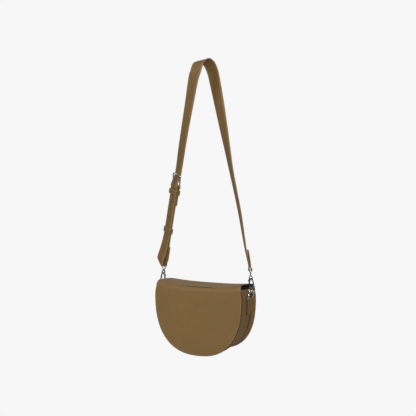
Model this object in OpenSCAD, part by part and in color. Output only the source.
// Saddle handbag with a half-moon body, a front flap and a buckled shoulder strap.
// The origin is where the top of the strap bears on whatever it hangs from.
// +Z is up, +X is the wearer's right hand side seen from the front, and the flap faces -Y.

/* [Bag] */
// Width of the flap at its widest
bag_w = 220; // [190:1:250]
// Height of the flap from its top face to its lowest point
flap_h = 162; // [150:1:190]
// Depth of the body from its front face to its back face
body_d = 74.5; // [55:0.5:80]
// Depth under the flap's top face at which the bag is widest
widest_drop = 28; // [22:1:36]
// How much narrower each side is at the top than at the widest
top_narrow = 3; // [0:0.5:8]
// Exponent of the flap's lower outline, where 2 is an ellipse
roundness = 2.4; // [2:0.05:2.6]
// Exponent of the body's lower outline
body_roundness = 2.65; // [2.4:0.05:2.8]
// Distance from the flap's top face down to the body's open edge
mouth_drop = 10; // [8:1:14]
// How far the body stands in from the flap's edge
flap_overhang = 1; // [1:0.5:4]
// Depth of the pleat that runs along the middle of the gusset
pleat = 2; // [1.5:0.5:6]
// Width of the flat middle of the gusset
pleat_flat_w = 24; // [23:1:30]

/* [Leather] */
// Thickness of the shell leather
leather_t = 1.6; // [1.2:0.1:2]
// Thickness of the stiffening board
board_t = 1; // [0.6:0.1:1.4]
// Thickness of the lining
lining_t = 0.6; // [0.4:0.1:1]
// How far the boards stay in from the leather's edge
board_inset = 4; // [3:0.5:8]
// Radius of the flap's bend from its top into its front
fold_r = 9; // [8:1:13]
// Space between the flap and the front of the body
flap_gap = 4.3; // [4:0.1:6]

/* [Strap] */
// Height of the strap's bearing point over the flap's top face
strap_drop = 507; // [440:1:560]
// Width of the strap
strap_w = 30; // [26:1:30]
// Thickness of the strap
strap_t = 2.6; // [2:0.1:3]
// Width of the strap's narrowed ends
end_w = 16; // [12:1:16]
// Length of the strap end that is turned back and sewn
turnback_l = 45; // [35:1:55]
// Distance from the lower eye bar to the buckle's heel bar
short_l = 189; // [180:1:196]
// Length of the free tail below the heel bar
tail_l = 191; // [180:1:192]
// Diameter of the adjusting holes
hole_d = 5; // [4.6:0.1:5.4]
// Distance between the adjusting holes
hole_pitch = 20; // [16:1:24]
// Number of adjusting holes
hole_count = 7; // [3:1:7]
// Height of the strap keepers
keeper_h = 12; // [10:1:16]
// Thickness of the strap keepers
keeper_t = 1.8; // [1.4:0.1:2.4]

/* [Buckle] */
// Diameter of the buckle's wire
buckle_wire_d = 3.2; // [2.8:0.1:3.6]
// Distance from the heel bar to the free bar
buckle_l = 27; // [24:1:32]
// Diameter of the prong
prong_d = 2.4; // [2:0.1:2.6]

/* [Rings and hooks] */
// Diameter of the ring's wire
ring_wire_d = 3.6; // [3:0.1:4]
// Radius of the ring's arc at the middle of the wire
ring_r = 13; // [12:0.5:14]
// Length of the ring's straight legs
ring_leg = 6; // [5:0.5:8]
// Angle at which the ring leans outward
ring_lean = 15; // [10:1:18]
// Width of the leather tab that holds the ring
tab_w = 20; // [16:1:21]
// Length of the tab below the ring's bar
tab_l = 36; // [24:1:40]
// Angle at which the snap hook leans inward
hook_lean = 5; // [2:1:8]
// Inside radius of the hook's bowl
bowl_r = 4.6; // [4.4:0.1:5]
// Space between the hook's bowl and the underside of the ring's wire
hang_gap = 0.8; // [0.6:0.1:0.9]
// Thickness of the hook in the plane of its opening
hook_t = 3.4; // [3:0.1:3.8]
// Thickness of the hook across its opening
hook_d = 4.4; // [4:0.1:5]
// Height of the hook's head over the middle of the ring's wire
head_h = 26; // [25:0.5:29]
// Diameter of the swivel post
post_d = 3.1; // [2.8:0.1:3.4]
// Diameter of the gate's pin
gate_pin_d = 1.6; // [1.4:0.1:1.8]

/* [Snap] */
// Depth of the magnetic snap under the flap's top face
snap_drop = 122; // [100:1:128]
// Diameter of the snap's discs
snap_d = 16; // [14:1:18]
// Diameter of the snap's pin
snap_pin_d = 4; // [3:0.5:5]

/* [Fits] */
// Radial clearance of a pin in its bore
fit = 0.08; // [0.04:0.01:0.1]
// Gap between soft pieces that lie on each other
lay_gap = 0.3; // [0.2:0.05:0.4]
// Overrun of a cut
cut = 1; // [0.5:0.5:2]

/* [Hidden] */
$fn = 48;

tan_leather = [0.47, 0.37, 0.24];
dark_leather = [0.40, 0.31, 0.20];
suede = [0.55, 0.47, 0.36];
card = [0.72, 0.66, 0.55];
nickel = [0.80, 0.80, 0.80];

// Where the bag hangs from the bearing point
bag_x = 4;
bag_place = [bag_x, 0, -strap_drop];

// Depths of the faces across the bag
body_front = -31.5;
body_back = body_front + body_d;
flap_inner = body_front - flap_gap;
flap_t = leather_t + board_t + lining_t;
flap_outer = flap_inner - flap_t;
thin_t = leather_t + lining_t;
wall_t = leather_t + board_t + lining_t;
fold_y = flap_outer + fold_r;

// Snap
socket_slack = 1.2;
socket_bore_r = snap_pin_d / 2 + socket_slack;
socket_t = 2.2;
stud_t = 1.2;
washer_t = 0.5;
washer_d = snap_d - 2;

// Flap's rear bend
margin_back = body_back - leather_t - lay_gap;
rear_r = mouth_drop;
rear_y = margin_back - rear_r;
margin_l = 16;
corner_r = 6;
half_w = bag_w / 2;
top_half_w = half_w - top_narrow - corner_r;
body_half_w = half_w - flap_overhang;
ring_y = (body_front + body_back) / 2;
pleat_edge = 1;

// Outline of the bag: from the mouth down the right side, round the bottom and up the left side
side_steps = 5;
round_steps = 44;
function sgn_pow(v, e) = sign(v) * pow(abs(v), e);
function side_x(z, w, top) = w - top_narrow * pow((z + widest_drop) / (widest_drop - top), 2);
function outline(w, low, top, e) = concat(
    [for (i = [0:side_steps - 1]) let (z = -top - (widest_drop - top) * i / side_steps)
        [side_x(z, w, top), z]],
    [for (i = [0:round_steps]) let (a = 180 * i / round_steps)
        [w * sgn_pow(cos(a), 2 / e), -widest_drop - low * sgn_pow(sin(a), 2 / e)]],
    [for (i = [side_steps - 1:-1:0]) let (z = -top - (widest_drop - top) * i / side_steps)
        [-side_x(z, w, top), z]]);
function unit(v) = v / norm(v);
function normal_at(p, i) = let (a = p[max(i - 1, 0)], b = p[min(i + 1, len(p) - 1)], d = unit(b - a))
    [-d[1], d[0]];
function inset(p, d) = [for (i = [0:len(p) - 1]) let (q = p[i] - d * normal_at(p, i))
    i == 0 || i == len(p) - 1 ? [q[0], p[i][1]] : q];
flap_low = flap_h - widest_drop;
flap_line = outline(half_w, flap_low, fold_r, roundness);
body_line = outline(body_half_w, flap_low - flap_overhang * 3, mouth_drop, body_roundness);

module along_y(y0, y1) {
    translate([0, y1, 0]) rotate([90, 0, 0]) linear_extrude(y1 - y0) children();
}
module along_x(w) {
    rotate([90, 0, 90]) linear_extrude(w, center = true) children();
}
// A flat piece cut to the bag's outline, d in from the edge
module plate(line, d, y0, y1) {
    along_y(y0, y1) polygon(inset(line, d));
}

// Gusset: one section swept round the outline. The section lists depth from front to back and
// how far in from the edge each place lies.
function gusset_section(t0, t1) = let (f = body_front + wall_t, b = body_back - wall_t)
    [[f, pleat_edge + t0], [ring_y - pleat_flat_w / 2, pleat_edge + pleat + t0],
     [ring_y + pleat_flat_w / 2, pleat_edge + pleat + t0], [b, pleat_edge + t0],
     [b, pleat_edge + t1], [ring_y + pleat_flat_w / 2, pleat_edge + pleat + t1],
     [ring_y - pleat_flat_w / 2, pleat_edge + pleat + t1], [f, pleat_edge + t1]];
module swept_wall(line, section) {
    n = len(line);
    m = len(section);
    pts = [for (i = [0:n - 1]) let (o = normal_at(line, i)) for (s = section)
        [line[i][0] - o[0] * s[1], s[0], line[i][1] - o[1] * s[1]]];
    polyhedron(pts, concat(
        [[for (k = [0:m - 1]) k]],
        [for (i = [0:n - 2]) for (k = [0:m - 1]) let (a = i * m + k, b = i * m + (k + 1) % m)
            for (tri = k < m / 2 ? [[a, b + m, b], [a, a + m, b + m]] : [[a, a + m, b], [b, a + m, b + m]]) tri],
        [[for (k = [m - 1:-1:0]) (n - 1) * m + k]]));
}

// Body
module back_panel() color(tan_leather) translate(bag_place)
    plate(body_line, 0, body_back - leather_t, body_back);
module back_board() color(card) translate(bag_place) difference() {
    plate(body_line, board_inset, body_back - leather_t - board_t, body_back - leather_t);
    translate([-bag_w / 2, body_back - leather_t - board_t - cut, -mouth_drop - margin_l - lay_gap])
        cube([bag_w, board_t + 2 * cut, margin_l + mouth_drop]);
}
module back_lining() color(suede) translate(bag_place) difference() {
    plate(body_line, pleat_edge, body_back - wall_t, body_back - leather_t - board_t);
    translate([-top_half_w - lay_gap, body_back - wall_t - cut, -mouth_drop - margin_l - lay_gap])
        cube([2 * (top_half_w + lay_gap), lining_t + 2 * cut, margin_l + mouth_drop]);
}
module snap_hole(r) {
    translate([0, body_front - cut, -snap_drop]) rotate([-90, 0, 0]) cylinder(r = r, h = wall_t + 3 * cut);
}
module front_panel() color(tan_leather) translate(bag_place) difference() {
    plate(body_line, 0, body_front, body_front + leather_t);
    snap_hole(socket_bore_r);
}
module front_board() color(card) translate(bag_place) difference() {
    plate(body_line, board_inset, body_front + leather_t, body_front + leather_t + board_t);
    snap_hole(socket_bore_r);
}
module front_lining() color(suede) translate(bag_place)
    plate(body_line, pleat_edge, body_front + leather_t + board_t, body_front + wall_t);
module gusset() color(dark_leather) translate(bag_place)
    swept_wall(body_line, gusset_section(0, leather_t));
module gusset_lining() color(suede) translate(bag_place)
    swept_wall(body_line, gusset_section(leather_t, leather_t + lining_t));
// The flap's rear edge, held between the back panel and its lining
module flap_margin() color(tan_leather) translate(bag_place)
    translate([-top_half_w, margin_back - thin_t, -mouth_drop - margin_l])
        cube([2 * top_half_w, thin_t, margin_l - mouth_drop / 20]);

// Flap: rear bend and top face
module bend(r, t, y, z, back) {
    translate([0, y, z]) intersection() {
        along_x(bag_w) difference() {
            circle(r);
            circle(r - t);
        }
        translate([-half_w, back ? 0 : -r, 0]) cube([bag_w, r, r]);
    }
}
module flap_top_skin(t, drop) {
    translate([-top_half_w, fold_y + lay_gap, -drop - t])
        cube([2 * top_half_w, rear_y - fold_y - lay_gap, t]);
    intersection() {
        bend(rear_r - drop, t, rear_y, -rear_r, true);
        translate([-top_half_w, rear_y, -rear_r]) cube([2 * top_half_w, rear_r, rear_r]);
    }
}
module flap_top_leather() color(tan_leather) translate(bag_place) flap_top_skin(leather_t, 0);
module flap_top_lining() color(suede) translate(bag_place) flap_top_skin(lining_t, leather_t);

// Flap: front bend and front face
corner_steps = 8;
function corner_line(d) = let (x = half_w - top_narrow - corner_r, z = -corner_r) concat(
    [for (i = [0:corner_steps]) let (a = 90 * i / corner_steps)
        [x + (corner_r - d) * cos(a), z + (corner_r - d) * sin(a) + d]],
    [for (i = [corner_steps:-1:0]) let (a = 90 * i / corner_steps)
        [-x - (corner_r - d) * cos(a), z + (corner_r - d) * sin(a) + d]],
    [[-half_w + top_narrow + d, -fold_r - cut], [half_w - top_narrow - d, -fold_r - cut]]);
module flap_skin(line, d, t, depth) {
    plate(line, d, flap_outer + depth, flap_outer + depth + t);
    intersection() {
        bend(fold_r - depth, t, fold_y, -fold_r, false);
        along_y(flap_outer - cut, fold_y + cut) polygon(corner_line(d));
    }
}
module flap_leather() color(tan_leather) translate(bag_place) flap_skin(flap_line, 0, leather_t, 0);
module flap_board() color(card) translate(bag_place) difference() {
    plate(flap_line, board_inset, flap_outer + leather_t, flap_outer + leather_t + board_t);
    disc(washer_d + 2 * lay_gap, flap_outer + leather_t - cut, board_t + 2 * cut);
}
module flap_lining() color(suede) translate(bag_place) union() {
    plate(flap_line, pleat_edge, flap_inner - lining_t, flap_inner);
    intersection() {
        bend(fold_r - leather_t, board_t + lining_t, fold_y, -fold_r, false);
        along_y(flap_outer - cut, fold_y + cut) polygon(corner_line(pleat_edge));
    }
}

// Magnetic snap
module disc(d, y, t) {
    translate([0, y, -snap_drop]) rotate([-90, 0, 0]) cylinder(d = d, h = t);
}
module snap_socket() color(nickel) translate(bag_place) difference() {
    disc(snap_d, body_front - socket_t, socket_t);
    disc(2 * socket_bore_r, body_front - socket_t - cut, socket_t + 2 * cut);
}
module socket_washer() color(nickel) translate(bag_place) disc(washer_d, body_front + wall_t, washer_t);
module snap_stud() color(nickel) translate(bag_place) union() {
    disc(snap_d, flap_inner, stud_t);
    disc(snap_pin_d, flap_inner + stud_t, flap_gap - stud_t - washer_t);
}
module stud_washer() color(nickel) translate(bag_place)
    disc(washer_d, flap_inner - lining_t - washer_t, washer_t);

// Rings and their tabs, drawn on the right side and mirrored for the left
bar_r = ring_wire_d / 2;
bar_z = -29.5;
loop_r = bar_r + fit;
tab_t = 1.4;
function line_x(z) = lookup(-z, [for (i = [0:side_steps + round_steps / 2]) [-body_line[i][1], body_line[i][0]]]);
function pleat_x(z) = line_x(z) - pleat_edge - pleat;
bar_x = pleat_x(bar_z) + loop_r + tab_t + lay_gap;
module on_side(right) {
    translate(bag_place + [0, ring_y, 0]) mirror([right ? 0 : 1, 0, 0]) children();
}
tab_steps = 8;
tab_top_z = bar_z - loop_r / 2;
tab_points = [for (i = [0:tab_steps]) let (z = tab_top_z - tab_l * i / tab_steps) [pleat_x(z) + lay_gap, z]];
// A flat shape drawn in X and Z, w thick about the middle
module slab(w) {
    rotate([90, 0, 0]) linear_extrude(w, center = true) children();
}
module tab(right) color(dark_leather) on_side(right) difference() {
    union() {
        translate([bar_x, 0, bar_z]) rotate([90, 0, 0]) cylinder(r = loop_r + tab_t, h = tab_w, center = true);
        slab(tab_w) polygon(concat(tab_points,
            [for (i = [tab_steps:-1:2]) tab_points[i] + [2 * tab_t, 0]],
            [[bar_x + loop_r / 2, bar_z - loop_r]]));
    }
    translate([bar_x, 0, bar_z]) rotate([90, 0, 0]) cylinder(r = loop_r, h = tab_w + cut, center = true);
}
module tab_left() tab(false);
module tab_right() tab(true);
module dee_ring(right) color(nickel) on_side(right) translate([bar_x, 0, bar_z])
    rotate([0, ring_lean, 0]) union() {
        rotate([90, 0, 0]) cylinder(r = bar_r, h = 2 * ring_r, center = true);
        for (s = [-1, 1]) translate([0, s * ring_r, 0]) {
            sphere(bar_r);
            cylinder(r = bar_r, h = ring_leg);
        }
        translate([0, 0, ring_leg]) rotate([90, 0, 90]) rotate_extrude(angle = 180)
            translate([ring_r, 0]) circle(bar_r);
    }
module dee_ring_left() dee_ring(false);
module dee_ring_right() dee_ring(true);

// Snap hooks, in a frame whose origin is the middle of the ring's wire and whose +Z is the post
arc_top = ring_leg + ring_r;
wire_x = bar_x + arc_top * sin(ring_lean);
wire_z = bar_z + arc_top * cos(ring_lean);
module in_hook(right) {
    on_side(right) translate([wire_x, 0, wire_z]) rotate([0, -hook_lean, 0]) children();
}
bowl_z = bowl_r - bar_r - hang_gap;
bowl_mid_r = bowl_r + hook_t / 2;
head_w = 9;
head_t = 7;
head_top = head_h + head_t;
flange_t = 1;
post_wall = 1.6;
flange_r = post_d / 2 + 0.4 * post_wall;
pivot_x = -head_w / 2 + hook_t / 2 - 0.4 * hook_t;
pivot_z = head_h - flange_t * 2.5;
gate_w = 2.2;
slot_w = gate_w + 2 * lay_gap;
nose_z = bowl_z + bowl_r * 0.55;
cheek_r = 2.4;
bore_r = post_d / 2 + fit;
module bowl() {
    difference() {
        translate([0, bowl_z]) circle(bowl_mid_r + hook_t / 2);
        translate([0, bowl_z]) circle(bowl_r);
        translate([-2 * bowl_mid_r, nose_z]) square([2 * bowl_mid_r + bowl_r / 2, 3 * bowl_mid_r]);
        translate([-bowl_r, bowl_z]) square([2 * bowl_r, 3 * bowl_mid_r]);
    }
}
module spine() {
    polygon([[bowl_r, bowl_z - hook_t / 2], [bowl_r + hook_t, bowl_z], [bowl_r + hook_t * 0.95, bowl_z + bowl_r],
        [head_w / 2, head_h + head_t / 2], [head_w / 2 - hook_t * 0.6, head_h],
        [bowl_r - hook_t * 0.1, bowl_z + bowl_r]]);
}
module head() {
    polygon([[-head_w / 2, head_h], [-head_w / 2, head_top - cut], [-head_w / 2 + cut, head_top],
        [head_w / 2 - cut, head_top], [head_w / 2 + cut / 10, head_top - cut], [head_w / 2 + cut / 10, head_h]]);
}
// Cheeks that carry the gate's pin
module cheeks() {
    polygon([[-head_w / 2, head_h + cut], [pivot_x - cheek_r, pivot_z], [pivot_x + cheek_r / 2, pivot_z],
        [-flange_r - 2 * lay_gap, head_h + cut]]);
}
module hook_frame(right) color(nickel) in_hook(right) difference() {
    union() {
        slab(hook_d) bowl();
        slab(hook_d) spine();
        slab(hook_d) head();
        slab(hook_d) cheeks();
        translate([pivot_x, 0, pivot_z]) rotate([90, 0, 0]) cylinder(r = cheek_r, h = hook_d, center = true);
        translate([0, 0, head_h + cut]) cylinder(r = bore_r + post_wall, h = head_t - 2 * cut);
    }
    // Slot for the gate between the cheeks
    translate([pivot_x - 2 * cheek_r, -slot_w / 2, pivot_z - 2 * cheek_r])
        cube([4 * cheek_r - lay_gap, slot_w, 2 * cheek_r + cheek_r + lay_gap / 2]);
    // Gate pin's hole and swivel post's bore
    translate([pivot_x, 0, pivot_z]) rotate([90, 0, 0])
        cylinder(d = gate_pin_d, h = hook_d + 2 * cut, center = true);
    translate([0, 0, head_h - cut]) cylinder(r = bore_r, h = head_t + 2 * cut);
    // Rest for the gate's tip on the nose
    translate([-bowl_mid_r - hook_t, -slot_w / 2, nose_z - gate_w * 0.6])
        cube([hook_t + hook_t / 2 + bowl_r, slot_w, gate_w]);
}
module hook_frame_left() hook_frame(false);
module hook_frame_right() hook_frame(true);
module gate_pin(right) color(nickel) in_hook(right) translate([pivot_x, 0, pivot_z]) rotate([90, 0, 0])
    cylinder(d = gate_pin_d, h = hook_d, center = true);
module gate_pin_left() gate_pin(false);
module gate_pin_right() gate_pin(true);
spring_wire = 0.25;
coil_r = cheek_r * 0.75;
flag_low = coil_r * 0.75;
bridge_r = cheek_r * 0.8 + lay_gap / 2 + spring_wire;
// A pair of coils, joined by the bridge that bears on the gate
module gate_spring(right) color(nickel) in_hook(right)
    translate([pivot_x, 0, pivot_z]) rotate([90, 0, 0]) union() {
    for (s = [-1, 1]) translate([0, 0, s * (slot_w / 2 - spring_wire / 2 - fit)]) difference() {
        union() {
            cylinder(r = coil_r, h = spring_wire, center = true);
            translate([0, (flag_low + bridge_r) / 2])
                cube([spring_wire, bridge_r - flag_low, spring_wire], center = true);
        }
        cylinder(d = gate_pin_d, h = slot_w, center = true);
    }
    translate([0, bridge_r - spring_wire / 2])
        cube([spring_wire, spring_wire, slot_w - 2 * fit - spring_wire], center = true);
}
module gate_spring_left() gate_spring(false);
module gate_spring_right() gate_spring(true);
gate_tip = [-bowl_mid_r + hook_t * 0.1, nose_z + gate_w * 0.15];
gate_body_w = gate_w - 2 * spring_wire;
module hook_gate(right) color(nickel) in_hook(right) rotate([90, 0, 0])
    linear_extrude(gate_body_w, center = true) difference() {
        union() {
            translate([pivot_x, pivot_z]) circle(cheek_r * 0.8);
            polygon([[pivot_x - cheek_r * 0.8, pivot_z], gate_tip + [-gate_w / 2, gate_w / 2],
                gate_tip, gate_tip + [gate_w / 2, gate_w / 2], [pivot_x + cheek_r * 0.7, pivot_z]]);
        }
        translate([pivot_x, pivot_z]) circle(gate_pin_d / 2 + fit);
    }
module hook_gate_left() hook_gate(false);
module hook_gate_right() hook_gate(true);

// Swivel eyes: a post with a riveted end, a collar and a shouldered loop for the strap
eye_wire_d = 2.6;
eye_h = 48;
collar_t = 2.4;
collar_r = 3.4;
collar_z = head_top + lay_gap;
eye_foot_z = collar_z + collar_t;
eye_half = end_w / 2 + eye_wire_d / 2 + lay_gap * 2;
eye_slack = 0.9;
eye_lap = eye_wire_d / 2 + eye_slack + strap_t / 2;
shoulder_z = eye_h - eye_lap - strap_t / 2 - lay_gap;
left_turn = 145;
right_turn = 118;
ball_share = 1.06;
module ball(p, d) {
    translate(p) sphere(d = d * ball_share);
}
module rod(a, b, d) {
    v = b - a;
    translate(a) rotate([0, acos(v[2] / norm(v)), atan2(v[1], v[0])]) cylinder(d = d, h = norm(v));
}
module swivel_eye(right, turn) color(nickel) in_hook(right) union() {
    translate([0, 0, head_h - flange_t - lay_gap]) cylinder(r = flange_r, h = flange_t);
    translate([0, 0, head_h - flange_t - lay_gap / 2]) cylinder(d = post_d, h = head_t + collar_t);
    translate([0, 0, collar_z]) cylinder(r = collar_r, h = collar_t);
    rotate([0, 0, turn]) {
        for (s = [-1, 1]) {
            rod([s * collar_r / 2, 0, eye_foot_z - eye_wire_d / 4], [s * eye_half, 0, shoulder_z], eye_wire_d);
            rod([s * eye_half, 0, shoulder_z], [s * eye_half, 0, eye_h], eye_wire_d);
            for (z = [shoulder_z, eye_h]) ball([s * eye_half, 0, z], eye_wire_d);
        }
        rod([-eye_half, 0, eye_h], [eye_half, 0, eye_h], eye_wire_d);
    }
}
module swivel_eye_left() swivel_eye(false, 180 - left_turn);
module swivel_eye_right() swivel_eye(true, right_turn);

// Strap frames. w runs across the strap, n is its outer or inner normal and s runs up along it.
eye_x = wire_x - eye_h * sin(hook_lean);
eye_z = wire_z + eye_h * cos(hook_lean) - strap_drop;
function dir(turn) = [cos(turn), sin(turn), 0];
function square_to(w, t) = unit(w - (w * t) * t);
eye_left = [bag_x - eye_x, ring_y, eye_z];
eye_right = [bag_x + eye_x, ring_y, eye_z];
left_s = unit([0.191, -0.032, 0.981]);
left_w = square_to(dir(left_turn), left_s);
left_n = cross(left_s, left_w);
right_s = unit([-0.17, 0.01, 0.985]);
right_w = square_to(dir(right_turn), right_s);
right_n = cross(right_s, right_w);
module in_left() {
    multmatrix([for (k = [0:2]) [left_w[k], left_n[k], left_s[k], eye_left[k]]]) children();
}
function at_left(n, s) = eye_left + n * left_n + s * left_s;
function at_right(n, s) = eye_right + n * right_n + s * right_s;

// How far the strap's middle layer lies from a bar, and from its turned-back end
lap = (strap_t + lay_gap) / 2;
heel_lap = buckle_wire_d / 2 + lay_gap + strap_t / 2;
ease_l = 16;
heel_ease = 8;
taper_l = 13;
bend_steps = 10;
function wrap(r, s0, a0, a1) = [for (i = [0:bend_steps]) let (a = a0 + (a1 - a0) * i / bend_steps)
    [r * cos(a), s0 + r * sin(a)]];
function ribbon(p, t) = let (q = [for (i = [0:len(p) - 1]) t / 2 * normal_at(p, i)]) concat(
    [for (i = [0:len(p) - 1]) p[i] + q[i]], [for (i = [len(p) - 1:-1:0]) p[i] - q[i]]);

// Short strap: its main layer outside, with both ends turned back on the inner side
short_line = concat(
    [[-lap, turnback_l], [-lap, ease_l]],
    wrap(eye_lap, 0, 180, 360),
    [[lap, ease_l], [lap, short_l - heel_ease]],
    wrap(heel_lap, short_l, 0, 180),
    [[-lap, short_l - heel_ease], [-lap, short_l - turnback_l]]);
prong_slot_w = prong_d * 1.5 + 4 * lay_gap;
module strap_short() color(tan_leather) in_left() difference() {
    intersection() {
        along_x(strap_w) polygon(ribbon(short_line, strap_t));
        rotate([90, 0, 0]) linear_extrude(4 * ease_l, center = true)
            polygon([[-end_w / 2, -ease_l], [end_w / 2, -ease_l], [end_w / 2, 0], [strap_w / 2, taper_l],
                [strap_w / 2, short_l + ease_l], [-strap_w / 2, short_l + ease_l],
                [-strap_w / 2, taper_l], [-end_w / 2, 0]]);
    }
    translate([-prong_slot_w / 2, -ease_l, short_l - heel_lap]) cube([prong_slot_w, 2 * ease_l, ease_l]);
}

// Long strap route. Each row: share of the eye's distance from the middle, share of arch_y,
// share of the height from the eye to the bearing point, and the turn of the strap's width.
arch_y = 22;
route_shares = [
    [0.893, 0.02, 0.103, 120], [0.764, 0.14, 0.262, 126], [0.653, 0.27, 0.371, 128],
    [0.540, 0.41, 0.477, 132], [0.440, 0.55, 0.583, 141], [0.330, 0.73, 0.694, 153],
    [0.228, 0.86, 0.800, 163], [0.120, 1.00, 0.905, 171], [0.079, 1.00, 0.945, 175],
    [0.025, 0.72, 0.986, 178], [-0.024, 0.00, 1.0026, 180], [-0.077, -0.72, 0.986, 178],
    [-0.121, -1.00, 0.945, 172], [-0.175, -1.00, 0.905, 165], [-0.277, -0.86, 0.801, 157],
    [-0.379, -0.73, 0.697, 152], [-0.484, -0.57, 0.587, 148]];
function route_point(r) = [bag_x + r[0] * eye_x, ring_y * (1 - r[2]) + r[1] * arch_y,
    eye_z - r[2] * (eye_z - strap_t / 2)];
function eased(a, b, c, d, t) = 0.5 * (2 * b + (c - a) * t + (2 * a - 5 * b + 4 * c - d) * t * t
    + (3 * b - a - 3 * c + d) * t * t * t);
function smooth(p, k) = [for (i = [1:len(p) - 3]) for (j = [0:k - 1])
    eased(p[i - 1], p[i], p[i + 1], p[i + 2], j / k)];
free_s = short_l + buckle_l;
free_n = 3;
behind_n = free_n - buckle_wire_d / 2 - lay_gap / 2 - strap_t / 2;
over_n = heel_lap + strap_t + lay_gap;
tail_n = lap + strap_t + lay_gap;
tail_flare = 8;
tip_l = 19;
keeper_low_s = 77;
// Turn of the tail's width at its end
tail_turn = 153;
// A station is its place, its width direction and its width
function station(p, w, width) = [p[0], p[1], p[2], w[0], w[1], w[2], width];
right_end = concat(
    [for (q = [[-lap, turnback_l], [-lap, (turnback_l + ease_l) / 2], [-lap, ease_l], [-lap, taper_l]])
        station(at_right(q[0], q[1]), right_w, strap_w)],
    [for (q = wrap(eye_lap, 0, 180, 360)) station(at_right(q[0], q[1]), right_w, end_w)],
    [for (q = [[lap, taper_l], [lap, ease_l]]) station(at_right(q[0], q[1]), right_w, strap_w)]);
shape = [for (r = route_shares) let (p = route_point(r)) station(p, dir(r[3]), strap_w)];
upper = smooth(concat([right_end[len(right_end) - 2], right_end[len(right_end) - 1]], shape,
    [station(at_left(behind_n, free_s + ease_l * 1.2), left_w, strap_w),
     station(at_left(behind_n, free_s), left_w, strap_w)]), 4);
tail_s = short_l - tail_l;
tail_far_w = square_to(dir(tail_turn), left_s);
function tail_w(share) = unit((1 - share) * left_w + share * tail_far_w);
// Each row: distance from the heel's plane, place along the strap, share of the width, share of the
// turn, and share of the width by which the middle lies aside
tail_end = [for (q = [
    [behind_n, free_s + ease_l * 1.2, 1, 0, 0], [behind_n, free_s + ease_l / 2, 1, 0, 0],
    [behind_n, free_s, 1, 0, 0], [behind_n + lay_gap, free_s - ease_l / 3, 1, 0, 0],
    [over_n, short_l + heel_lap, 1, 0, 0], [over_n, short_l, 1, 0, 0], [over_n, short_l - heel_lap, 1, 0, 0],
    [tail_n, short_l - heel_ease, 1, 0, 0], [tail_n, short_l - ease_l, 1, 0, 0],
    [tail_n, short_l - 2 * ease_l, 1, 0, 0], [tail_n, (short_l + keeper_low_s) / 2, 1, 0, 0],
    [tail_n, keeper_low_s + keeper_h, 1, 0, 0], [tail_n, keeper_low_s, 1, 0, 0],
    [tail_n + tail_flare * 0.12, keeper_low_s * 0.75 + tail_s * 0.25, 1, 0.15, 0],
    [tail_n + tail_flare * 0.42, keeper_low_s * 0.45 + tail_s * 0.55, 1, 0.6, 0],
    [tail_n + tail_flare * 0.78, tail_s + tip_l, 1, 1, 0],
    [tail_n + tail_flare * 0.86, tail_s + tip_l * 0.6, 0.66, 1, -0.15],
    [tail_n + tail_flare * 0.92, tail_s + tip_l * 0.25, 0.36, 1, -0.27],
    [tail_n + tail_flare * 0.97, tail_s, 0.14, 1, -0.34]])
    let (w = tail_w(q[3])) station(at_left(q[0], q[1]) + q[4] * strap_w * w, w, strap_w * q[2])];
long_stations = concat(right_end, upper, tail_end);
bevel = 0.5;
function place(q) = [q[0], q[1], q[2]];
module ribbon_sweep(st, t) {
    n = len(st);
    section = [[-1, -bevel], [-1, bevel], [-1 + bevel / 15, 1], [1 - bevel / 15, 1], [1, bevel], [1, -bevel],
        [1 - bevel / 15, -1], [-1 + bevel / 15, -1]];
    m = len(section);
    pts = [for (i = [0:n - 1])
        let (a = place(st[max(i - 1, 0)]), b = place(st[min(i + 1, n - 1)]), d = unit(b - a),
            w = square_to([st[i][3], st[i][4], st[i][5]], d), o = cross(d, w))
        for (c = section) place(st[i]) + c[0] * st[i][6] / 2 * w + c[1] * t / 2 * o];
    polyhedron(pts, concat(
        [[for (k = [0:m - 1]) k]],
        [for (i = [0:n - 2]) for (k = [0:m - 1]) let (a = i * m + k, b = i * m + (k + 1) % m)
            for (tri = [[a, b + m, b], [a, a + m, b + m]]) tri],
        [[for (k = [m - 1:-1:0]) (n - 1) * m + k]]));
}
hole_s = heel_lap * 1.2;
first_hole = -4;
module strap_long() color(tan_leather) difference() {
    ribbon_sweep(long_stations, strap_t);
    in_left() for (k = [0:hole_count - 1])
        translate([0, -ease_l, short_l + hole_s + (first_hole + k) * hole_pitch]) rotate([-90, 0, 0])
            cylinder(d = hole_d, h = 2 * ease_l);
}

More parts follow.
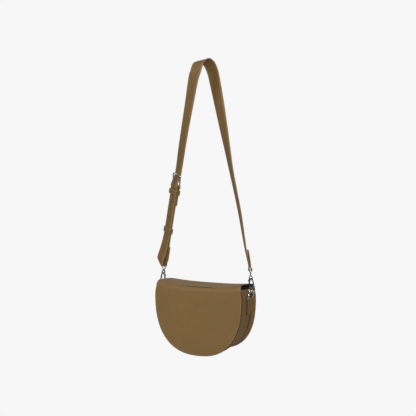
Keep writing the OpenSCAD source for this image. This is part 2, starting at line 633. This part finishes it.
// Keepers, drawn round the layers that each one holds
module keeper(n0, n1, s0) {
    in_left() translate([0, (n0 + n1) / 2, s0]) difference() {
        block(strap_w + 2 * (lay_gap + keeper_t), n1 - n0 + 2 * (lay_gap + keeper_t), keeper_h, keeper_t);
        translate([0, 0, -cut]) block(strap_w + 2 * lay_gap, n1 - n0 + 2 * lay_gap, keeper_h + 2 * cut, 0);
    }
}
module block(w, d, h, r) {
    linear_extrude(h) {
        square([w, d - 2 * r], center = true);
        square([w - 2 * r, d], center = true);
        if (r > 0) for (x = [-1, 1]) for (y = [-1, 1])
            translate([x * (w / 2 - r), y * (d / 2 - r)]) circle(r);
    }
}
keeper_up_s = short_l - heel_ease - lay_gap - keeper_h;
module keeper_upper() color(tan_leather) keeper(-lap - strap_t / 2, over_n + strap_t / 2 - lay_gap, keeper_up_s);
module keeper_lower() color(tan_leather) keeper(lap - strap_t / 2, tail_n + strap_t / 2, keeper_low_s);

// Buckle, in the strap's frame at the heel bar
wire_r = buckle_wire_d / 2;
rail_w = strap_w / 2 + 2 * lay_gap + cut / 2 + wire_r;
module at_heel() {
    in_left() translate([0, 0, short_l]) children();
}
module buckle_frame() color(nickel) at_heel() union() {
    for (q = [[0, 0], [free_n, buckle_l]])
        rod([-rail_w, q[0], q[1]], [rail_w, q[0], q[1]], buckle_wire_d);
    for (x = [-rail_w, rail_w]) {
        rod([x, 0, 0], [x, free_n, buckle_l], buckle_wire_d);
        for (q = [[0, 0], [free_n, buckle_l]]) ball([x, q[0], q[1]], buckle_wire_d);
    }
}
prong_eye_r = wire_r + fit;
prong_eye_t = 1.2;
prong_root = [0, prong_eye_r + prong_eye_t * 0.2, prong_eye_r + prong_eye_t / 2];
prong_knee = [0, over_n + strap_t / 2 + 2 * lay_gap, hole_s + prong_d * 0.3];
prong_tip = [0, free_n + wire_r + prong_d / 2 + fit, buckle_l + prong_d];
module buckle_prong() color(nickel) at_heel() difference() {
    union() {
        rotate([0, 90, 0]) cylinder(r = prong_eye_r + prong_eye_t, h = prong_d * 1.5, center = true);
        rod(prong_root, prong_knee, prong_d);
        ball(prong_knee, prong_d);
        rod(prong_knee, prong_tip, prong_d);
        ball(prong_tip, prong_d);
    }
    rotate([0, 90, 0]) cylinder(r = prong_eye_r, h = prong_d * 3, center = true);
}

back_panel();
back_board();
back_lining();
front_panel();
front_board();
front_lining();
gusset();
gusset_lining();
flap_margin();
tab_left();
tab_right();
snap_socket();
socket_washer();
flap_top_leather();
flap_top_lining();
flap_leather();
flap_board();
flap_lining();
snap_stud();
stud_washer();
dee_ring_left();
dee_ring_right();
hook_frame_left();
hook_frame_right();
gate_pin_left();
gate_pin_right();
gate_spring_left();
gate_spring_right();
hook_gate_left();
hook_gate_right();
swivel_eye_left();
swivel_eye_right();
strap_long();
strap_short();
keeper_upper();
keeper_lower();
buckle_frame();
buckle_prong();
